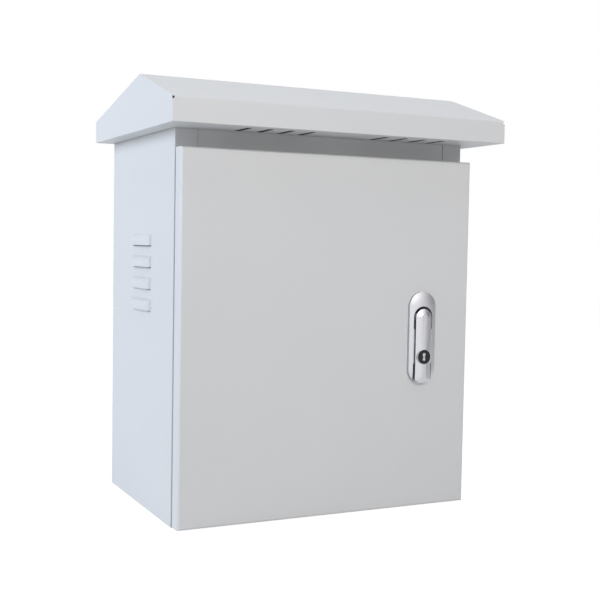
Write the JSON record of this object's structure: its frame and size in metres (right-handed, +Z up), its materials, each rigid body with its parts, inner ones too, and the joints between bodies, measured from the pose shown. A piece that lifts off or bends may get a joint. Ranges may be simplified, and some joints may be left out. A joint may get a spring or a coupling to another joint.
{
  "type": "roadside utility cabinet",
  "caption": "Outdoor utility cabinet of painted sheet steel with a gabled rain hood, side louvres, concealed door hinges and a swing lever lock.",
  "frame": {"origin": "centre of the body's bottom face, which it rests on", "axes": "+Z up, -Y out of the door's face, +X to the right of someone facing the door"},
  "size_m": [0.448, 0.3225, 0.5409],
  "materials": {
    "body_paint": "light grey polyester powder coat, fine satin texture",
    "zinc_steel": "zinc plated",
    "satin_chrome": "satin chrome on die-cast zinc",
    "seal_rubber": "matt foamed and moulded rubber",
    "black_plastic": "black moulded cap"
  },
  "bodies": {
    "cabinet": {"body_wrap": "body_paint", "body_top": "body_paint", "body_bottom": "body_paint", "rain_hood": "body_paint", "hood_soffit": "body_paint", "hood_rails": "zinc_steel", "hood_bolts": "zinc_steel", "hood_nuts": "zinc_steel", "mounting_plate": "zinc_steel", "plate_studs": "zinc_steel", "plate_spacers": "zinc_steel", "plate_washers": "zinc_steel", "plate_nuts": "zinc_steel", "gland_gasket": "seal_rubber", "gland_plate": "zinc_steel", "gland_studs": "zinc_steel", "gland_nuts": "zinc_steel", "cable_grommets": "seal_rubber", "body_earth_stud": "zinc_steel", "body_earth_nut": "zinc_steel", "hinge_brackets": "zinc_steel", "hinge_screws": "zinc_steel", "hinge_nuts": "zinc_steel", "hinge_pins": "zinc_steel"},
    "door": {"door_panel": "body_paint", "door_gasket": "seal_rubber", "hinge_leaves": "zinc_steel", "door_earth_stud": "zinc_steel", "door_earth_nut": "zinc_steel", "lock_base": "satin_chrome", "lock_gasket": "seal_rubber", "lever_pad": "black_plastic", "lock_clamp_plate": "zinc_steel", "lock_ring_nut": "zinc_steel", "lock_stud_nut": "zinc_steel"},
    "turning_spindle": {"lock_spindle": "zinc_steel", "spindle_clip": "zinc_steel", "latch_cam": "zinc_steel", "cam_washer": "zinc_steel", "cam_nut": "zinc_steel"},
    "swing_lever": {"lever": "satin_chrome", "lever_pin": "zinc_steel", "key_barrel": "satin_chrome", "key_cap": "black_plastic"},
    "key_core": {"key_plug": "satin_chrome"}
  },
  "joints": [
    {"name": "door_hinge", "type": "hinge", "parent": "cabinet", "child": "door", "pos_m": [-0.194, -0.1395, 0.225], "axis": [0, 0, -1], "range_deg": [0, 105]},
    {"name": "lever_turn", "type": "hinge", "parent": "door", "child": "turning_spindle", "pos_m": [0.1285, -0.1515, 0.2485], "axis": [0, 1, 0], "range_deg": [0, 90]},
    {"name": "lever_lift", "type": "hinge", "parent": "turning_spindle", "child": "swing_lever", "pos_m": [0.1285, -0.1567, 0.2485], "axis": [-1, 0, 0], "range_deg": [0, 22]},
    {"name": "key_turn", "type": "hinge", "parent": "swing_lever", "child": "key_core", "pos_m": [0.1285, -0.1595, 0.1973], "axis": [0, 1, 0], "range_deg": [0, 90]}
  ]
}
